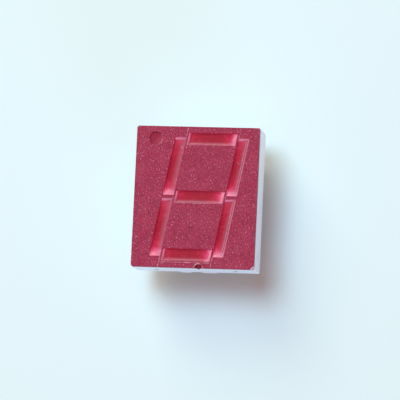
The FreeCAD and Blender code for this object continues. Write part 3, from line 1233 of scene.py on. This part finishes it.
@dataclass
class MouldLines:
    """Fine raised lines where the mould's inserts meet. Sizes are in millimetres.

    Attributes:
        taper: How much narrower a line's top is than its foot, as a share.
        unevenness: How much lower than the rest a point of a line may be, as a share.
        ledges: Inset and depth of each ledge in a window that has ledges.
        lines_above: Gap under the line above a window, and how far the line strays.
    """

    outside: Outside
    digit: Digit
    width: float = 0.13
    height: float = 0.06
    step: float = 0.14
    taper: float = 0.6
    unevenness: float = 0.9
    waver: float = 0.02
    end_gap: float = 0.08
    ledged_windows: str = "ef"
    ledges: tuple[Span, ...] = ((0.37, 0.275), (0.05, 0.10))
    ledge_end: float = 0.22
    lines_above: dict[str, Span] = field(
        default_factory=lambda: {"a": (0.22, 0.02), "g": (0.05, 0.04)})

    def __post_init__(self) -> None:
        """Start the random draws."""
        self.random = random.Random(SEED)

    def ridge(self, start: Span, end: Span, waver: float, finish: Material,
              sink: float = 0.0) -> Piece:
        """Model one raised line, uneven along its length.

        Args:
            start: X and Y of one end, measured on the upright digit before it leans.
            end: X and Y of the other end, straight across or along from the first.
            waver: How far the line strays to either side.
            finish: Its material.
            sink: How far below the face it lies.

        Returns:
            The ridge, half sunk in the surface under it.
        """
        base = Vector((*start, self.outside.face_z - sink))
        run = Vector((*end, self.outside.face_z - sink)) - base
        along = run.normalized()
        side = Vector((-along.y, along.x, 0))
        half = side * (self.width / 2)
        low, high = base - half, base + run + half
        ridge = block("ridge", Vector(map(min, low, high)) - Vector((0, 0, self.width / 2)),
                      Vector(map(max, low, high)) + Vector((0, 0, self.height)))
        cuts = max(2, int(run.length / self.step))
        with editing(ridge):
            for i in range(1, cuts):
                slice_all(base + run * (i / cuts), along)
            pick(ridge, Element.VERTEX, lambda v: v.co.z > base.z + NEAR)
            narrow = Vector((1, 1, 1)) - Vector(map(abs, side)) * self.taper
            bpy.ops.transform.resize(value=narrow, center_override=base + run / 2)
            for i in range(cuts + 1):
                row = base + run * (i / cuts)
                drop = -self.random.random() ** 2 * self.height * self.unevenness
                pick(ridge, Element.VERTEX, lambda v, p=row: abs((v.co - p).dot(along)) < NEAR
                     and v.co.z > base.z + NEAR)
                stray = side * self.random.uniform(-waver, waver)
                bpy.ops.transform.translate(value=stray + Vector((0, 0, drop)))
        lean(ridge, self.digit.slant)
        ridge.data.materials.append(finish)
        return ridge

    def beside_columns(self, flash: Material) -> list[Piece]:
        """Model the witness lines that go on from the columns' inner sides.

        Args:
            flash: Finish of the lines.

        Returns:
            The lines.
        """
        end, gap, top = self.digit.columns_end, self.digit.upright_gap / 2, self.outside.half_height
        inner = (self.digit.column_pitch - self.digit.upright_width) / 2
        return [self.ridge((self.digit.x + side * inner, low + self.end_gap),
                           (self.digit.x + side * inner, high - self.end_gap), self.waver, flash)
                for side in (1, -1) for low, high in ((-top, -end), (-gap, gap), (end, top))]

    def at_window(self, window: Window, flash: Material, ledge: Material) -> list[Piece]:
        """Model the line above a window and the ledges inside it, where it has them.

        Args:
            window: The window.
            flash: Finish of a line on the face.
            ledge: Finish of the ledges.

        Returns:
            The lines.
        """
        half_x, half_y = window.width / 2, window.height / 2
        found = []
        if window.name in self.ledged_windows:
            reach = half_y - self.ledge_end
            for inset, sink in self.ledges:
                x = window.x - half_x + inset
                found.append(self.ridge((x, window.y - reach), (x, window.y + reach), self.waver,
                                        ledge, sink))
        if window.name in self.lines_above:
            gap, waver = self.lines_above[window.name]
            y = window.y + half_y + gap
            found.append(self.ridge((window.x - half_x, y), (window.x + half_x, y), waver, flash))
        return found

    def build(self, flash: Material, ledge: Material) -> list[Piece]:
        """Model every line.

        Args:
            flash: Finish of the lines on the face.
            ledge: Finish of the ledges inside two of the windows.

        Returns:
            The lines, each dressed.
        """
        found = self.beside_columns(flash)
        for window in self.digit.windows():
            found += self.at_window(window, flash, ledge)
        return found


@dataclass(frozen=True)
class Wear:
    """Marks of this one example: a bubble, a scratch, a speck and two nicks in the edge.

    Attributes:
        scratch_share: How much of a ring the curved scratch is.
        scratch_end: Direction square to the cut that ends it.
        ring_radius: Half the thickness of a ring.
        unevenness: How far the points of a lump stray, as a share of its radius.
    """

    recess: Recess
    bubble: Spot = (2.10, -7.15, 0.2)
    scratch: Spot = (-6.05, -5.2, 0.34)
    scratch_share: float = 0.45
    scratch_end: Triple = (0.3, 1, 0)
    speck: Spot = (2.8, -2.4, 0.09)
    nicks: tuple[Spot, ...] = ((8.75, 8.3, 0.14), (-8.75, -4.05, 0.12))
    ring_radius: float = 0.035
    ring_sink: float = 0.02
    unevenness: float = 0.25

    def ring(self, spot: Spot, share: float) -> Piece:
        """Model part of a fine ring in a window's floor, for a bubble's edge or a scratch.

        Args:
            spot: Its place and radius.
            share: How much of the ring there is, from its highest point down, from 0 to 1.

        Returns:
            The ring, without a material.
        """
        x, y, radius = spot
        ring = shape(bpy.ops.mesh.primitive_torus_add, (x, y, self.recess.floor_z - self.ring_sink),
                     major_radius=radius, minor_radius=self.ring_radius, major_segments=32,
                     minor_segments=8)
        if share < 1:
            with editing(ring):
                slice_all((x, y + radius * (1 - 2 * share), 0), self.scratch_end,
                          clear_inner=True, use_fill=True)
        return ring

    def pebble(self, spot: Spot) -> Piece:
        """Model a small lump at the face, for a speck or the shape of a nick."""
        x, y, radius = spot
        return lump((x, y, self.recess.face_z), radius, radius * self.unevenness, fineness=2)

    def knock_nicks(self, plate: Piece, flash: Material) -> None:
        """Knock the nicks out of the plate's edge."""
        for nick in self.nicks:
            combine(plate, self.pebble(nick), Solid.CUT, flash)

    def marks(self, flash: Material) -> list[Piece]:
        """Model the marks that stand on a surface.

        Args:
            flash: Their finish.

        Returns:
            The bubble in one window, the curved scratch in another and the speck.
        """
        found = [self.ring(self.bubble, 1.0), self.ring(self.scratch, self.scratch_share),
                 self.pebble(self.speck)]
        for mark in found:
            mark.data.materials.append(flash)
        return found


@dataclass
class TintedPlate:
    """Red front plate with its seven windows, its point, its cut corner and its gate.

    Sizes are in millimetres. Left, right, top and bottom are those of the upright digit. A corner
    is named by its side and its end: 1 is right or top, -1 is left or bottom.

    Attributes:
        shaded_rim: How far outside a window or the point their painted light and sheen are noted.
        facing: Least share of a normal along X and along Y in the cut corner's facet.
    """

    digit: Digit = Digit()
    cut_corner: float = 0.45
    cut_at: tuple[int, int] = (-1, 1)
    corner_radii: dict[tuple[int, int], float] = field(
        default_factory=lambda: {(1, 1): 0.3, (-1, -1): 0.15, (1, -1): 0.35})
    edge_radius: float = 0.06
    lip_radius: float = 0.035
    shaded_rim: float = 0.16
    facing: float = 0.3
    smooth_deg: float = 35.0
    # The cut corner's facet is a pale pink painted highlight
    painted_corner_highlight: MouldFlash = MouldFlash(name="painted_corner_highlight", ground=(0.85, 0.46, 0.60),
                                         patches=(0.95, 0.62, 0.76))
    # Paler red of the ledges, partly a painted highlight
    ledge_trim: MouldFlash = MouldFlash(name="ledge_trim", ground=(0.66, 0.22, 0.32),
                                        patches=(0.84, 0.38, 0.48))

    def __post_init__(self) -> None:
        """Take the plate's outside from the frame and fit its features to it."""
        self.outside = Outside.of_node("front_plate")
        self.recess = Recess(self.outside.face_z, self.digit.slant)
        self.point = DecimalPoint(self.outside)
        self.gate = Gate(self.outside, self.recess, self.edge_radius)
        self.lines = MouldLines(self.outside, self.digit)
        self.wear = Wear(self.recess)

    def at_corner(self, corner: tuple[int, int]) -> Test:
        """Test for the plate's upright edge at a corner."""
        x, y = corner[0] * self.outside.half_width, corner[1] * self.outside.half_height
        return lambda edge: all(abs(v.co.x - x) < NEAR and abs(v.co.y - y) < NEAR
                                for v in edge.verts)

    def body(self, face: Material, corner: Material) -> Piece:
        """Model the bare plate with its corners and its rounded edge.

        Args:
            face: Its finish.
            corner: Finish of the cut corner's facet, a pale pink painted highlight.

        Returns:
            The plate.
        """
        half_width, half_height = self.outside.half_width, self.outside.half_height
        plate = block("tinted_plate", (-half_width, -half_height, self.outside.back_z),
                      (half_width, half_height, self.outside.face_z))
        for finish in (face, corner):
            plate.data.materials.append(finish)
        side, end = self.cut_at
        with editing(plate):
            for place, radius in self.corner_radii.items():
                bevel(plate, self.at_corner(place), radius, segments=8)
            bevel(plate, self.at_corner(self.cut_at), self.cut_corner, segments=1)
            bevel(plate, above(self.outside.face_z - NEAR), self.edge_radius, segments=3)
            pick(plate, Element.FACE, lambda f: side * f.normal.x > self.facing
                 and end * f.normal.y > self.facing)
            plate.active_material_index = 1
            bpy.ops.object.material_slot_assign()
        return plate

    def round_lips(self, plate: Piece) -> None:
        """Round the edge where each window meets its rim.

        Args:
            plate: The plate, with its windows cut.
        """
        on_rim = above(self.outside.face_z + NEAR)
        with editing(plate):
            bevel(plate, lambda e: len({f.material_index for f in e.link_faces}) > 1 and on_rim(e),
                  self.lip_radius, segments=3)

    def shades_at(self, place: Vector, windows: Sequence[Window]) -> Triple:
        """Work out the painted light and sheen of one point of the plate.

        Args:
            place: The point.
            windows: The digit's windows.

        Returns:
            The values of the attributes in SHADES, which are 0 away from windows and point.
        """
        from_point = place.xy - self.point.middle
        if from_point.length < self.point.diameter / 2 + self.shaded_rim:
            return 0.0, self.point.painted_light(from_point), 0.0
        straight = Vector((place.x - place.y * self.digit.slant, place.y, 0))
        for window in windows:
            offset = straight - window.centre
            reach = window.half + Vector((self.shaded_rim, self.shaded_rim, 0))
            if abs(offset.x) < reach.x and abs(offset.y) < reach.y:
                return self.recess.shades(window, offset)
        return 0.0, 0.0, 0.0

    def note_shades(self, plate: Piece) -> None:
        """Note the painted light and sheen of each point of the plate in its mesh.

        Args:
            plate: The plate, in millimetres.
        """
        windows = self.digit.windows()
        layers = [plate.data.attributes.new(name, "FLOAT", "POINT") for name in SHADES]
        for vertex in plate.data.vertices:
            for layer, value in zip(layers, self.shades_at(vertex.co, windows)):
                layer.data[vertex.index].value = value

    def build(self, effects: Effects) -> Piece:
        """Model the plate and dress it.

        Args:
            effects: The shared shader groups.

        Returns:
            The finished plate, in the frame's metres.
        """
        face, glossy, point_floor, trim, flash, broken, corner, ledge = (
            finish.build(effects) for finish in (
                GrainedFace(), GlossyWindow(), PointFloor(), InsertTrim(), MouldFlash(),
                GateBreak(), self.painted_corner_highlight, self.ledge_trim))
        plate = self.body(face, corner)
        for window in self.digit.windows():
            combine(plate, self.recess.rim(window), Solid.JOIN, trim)
        for window in self.digit.windows():
            combine(plate, self.recess.tool(window), Solid.CUT, glossy)
        self.round_lips(plate)
        combine(plate, self.point.tool(), Solid.CUT, point_floor)
        self.gate.cut(plate, flash, broken)
        self.wear.knock_nicks(plate, flash)
        for detail in self.lines.build(flash, ledge) + self.wear.marks(flash):
            attach(plate, detail)
        self.note_shades(plate)
        finish_piece(plate, self.smooth_deg)
        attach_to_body(plate, "root")
        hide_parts("front_plate")
        return plate


@dataclass(frozen=True)
class InnerParts:
    """The carried-over solids: housing, resin, leads, chips and wires.

    Attributes:
        looks: The finish of every node whose name holds the words given.
    """

    looks: dict[str, Finish] = field(default_factory=lambda: {
        "reflector_housing": WhitePlastic(),
        "resin_casting": CastResin(),
        "lead": Metal(name="tinned_lead", ground=(0.74, 0.75, 0.77), patches=(0.56, 0.57, 0.60)),
        "bond_wire": Metal(name="gold_wire", ground=(0.85, 0.62, 0.25),
                           patches=(0.70, 0.50, 0.20), roughness=(0.15, 0.25)),
        "chip": Metal(name="chip", ground=(0.24, 0.22, 0.25), patches=(0.16, 0.15, 0.18),
                      roughness=(0.2, 0.4))})

    def dress(self, effects: Effects) -> dict[str, str]:
        """Give every carried-over node its finish.

        Args:
            effects: The shared shader groups.

        Returns:
            The name of each dressed node's finish.
        """
        finishes = {words: look.build(effects) for words, look in self.looks.items()}
        dressed = {}
        for name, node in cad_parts.items():
            for words, finish in finishes.items():
                if words in name:
                    node.data.materials.clear()
                    node.data.materials.append(finish)
                    dressed[name] = finish.name
        return dressed


@dataclass(frozen=True)
class Lamp:
    """Square soft lamp, by its direction from the object. Sizes are in millimetres."""

    name: str
    tilt_deg: float
    turn_deg: float
    side: float
    power: float
    colour: Colour
    glossy: bool = True

    def hang(self, distance: float) -> None:
        """Hang the lamp at a distance from the object, facing it.

        Args:
            distance: Distance from the frame's origin.
        """
        data = bpy.data.lights.new(self.name, "AREA")
        data.shape = "SQUARE"
        data.size = self.side * MM
        data.energy = self.power
        data.color = self.colour
        lamp = bpy.data.objects.new(self.name, data)
        bpy.context.scene.collection.objects.link(lamp)
        tilt, turn = math.radians(self.tilt_deg), math.radians(self.turn_deg)
        direction = Vector((math.sin(tilt) * math.cos(turn), math.sin(tilt) * math.sin(turn),
                            math.cos(tilt)))
        lamp.location = direction * distance * MM
        lamp.rotation_euler = direction.to_track_quat("Z", "Y").to_euler()
        lamp.visible_glossy = self.glossy


@dataclass(frozen=True)
class Studio:
    """Pale floor, three soft lamps, an even surround and the camera of the picture.

    Places are in millimetres. The camera leans away from the face's normal towards the digit's
    upper left, so the picture shows the left and the top wall.
    """

    aim: Span = (-0.717, 0.391)
    camera_distance: float = 524.8
    camera_back: Triple = (-0.16933, 0.12244, 0.97793)
    camera_roll_deg: float = 2.72
    camera_clip_m: Span = (0.01, 20.0)
    picture_width_px: float = 400.0
    focal_px: float = 3735.2
    sensor_mm: float = 36.0
    floor_half: float = 3000.0
    floor_colour: Colour = (0.80, 0.90, 0.95)
    floor_roughness: float = 0.9
    floor_specular: float = 0.1
    lamps: tuple[Lamp, ...] = (
        Lamp("high_light", 20.0, -60.0, 383.0, 5.75, (0.585, 0.88, 1.0), glossy=False),
        Lamp("low_light", 52.0, -60.0, 450.0, 3.0, (0.92, 1.0, 0.75)),
        Lamp("wall_light", 84.0, 114.0, 383.0, 5.1, (0.37, 0.61, 1.0), glossy=False))
    lamp_distance: float = 900.0
    world_strength: float = 0.375
    world_colour: Colour = (1.0, 0.54, 0.385)

    def build(self) -> None:
        """Set up floor, light, surround and camera."""
        self.build_floor()
        for lamp in self.lamps:
            lamp.hang(self.lamp_distance)
        self.build_world()
        self.build_camera()
        bpy.context.scene.view_settings.view_transform = "Standard"

    def build_floor(self) -> None:
        """Lay the pale floor."""
        floor = shape(bpy.ops.mesh.primitive_grid_add, (0, 0, 0), x_subdivisions=8,
                      y_subdivisions=8, size=2 * self.floor_half * MM)
        floor.name = "floor"
        graph = FinishGraph("pale_floor", {"Base Color": rgba(self.floor_colour),
                                           "Roughness": self.floor_roughness,
                                           "Specular IOR Level": self.floor_specular})
        floor.data.materials.append(graph.material)

    def build_world(self) -> None:
        """Light the shadows evenly."""
        world = bpy.data.worlds.new("surround")
        world.use_nodes = True
        world.node_tree.nodes.clear()
        graph = Graph(world.node_tree)
        fill = graph.add("Background", {"Color": rgba(self.world_colour),
                                        "Strength": self.world_strength})
        graph.add("OutputWorld", {"Surface": fill.outputs[0]})
        bpy.context.scene.world = world

    def build_camera(self) -> None:
        """Place the camera of the picture, which sees the digit upside down."""
        data = bpy.data.cameras.new("camera")
        data.sensor_width = self.sensor_mm
        data.lens = self.focal_px * self.sensor_mm / self.picture_width_px
        data.clip_start, data.clip_end = self.camera_clip_m
        camera = bpy.data.objects.new("camera", data)
        bpy.context.scene.collection.objects.link(camera)
        back = Vector(self.camera_back).normalized()
        aim = Vector((self.aim[0] * MM, self.aim[1] * MM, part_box("front_plate")[1].z))
        camera.location = aim + back * self.camera_distance * MM
        down = Vector((0, -1, 0))
        up = (down - back * down.dot(back)).normalized()
        roll = math.radians(self.camera_roll_deg)
        leaned = up * math.cos(roll) - up.cross(back) * math.sin(roll)
        turn = Matrix((leaned.cross(back), leaned, back)).transposed()
        camera.rotation_euler = turn.to_euler()
        bpy.context.scene.camera = camera


def main() -> None:
    """Build every piece in order and say what was built."""
    logging.basicConfig(level=logging.INFO, format="%(message)s")
    effects = Effects()
    plate = TintedPlate().build(effects)
    LOG.info("%s: %d faces", plate.name, len(plate.data.polygons))
    for name, finish in InnerParts().dress(effects).items():
        LOG.info("%s: %s", name, finish)
    Studio().build()


if __name__ == "__main__":
    main()
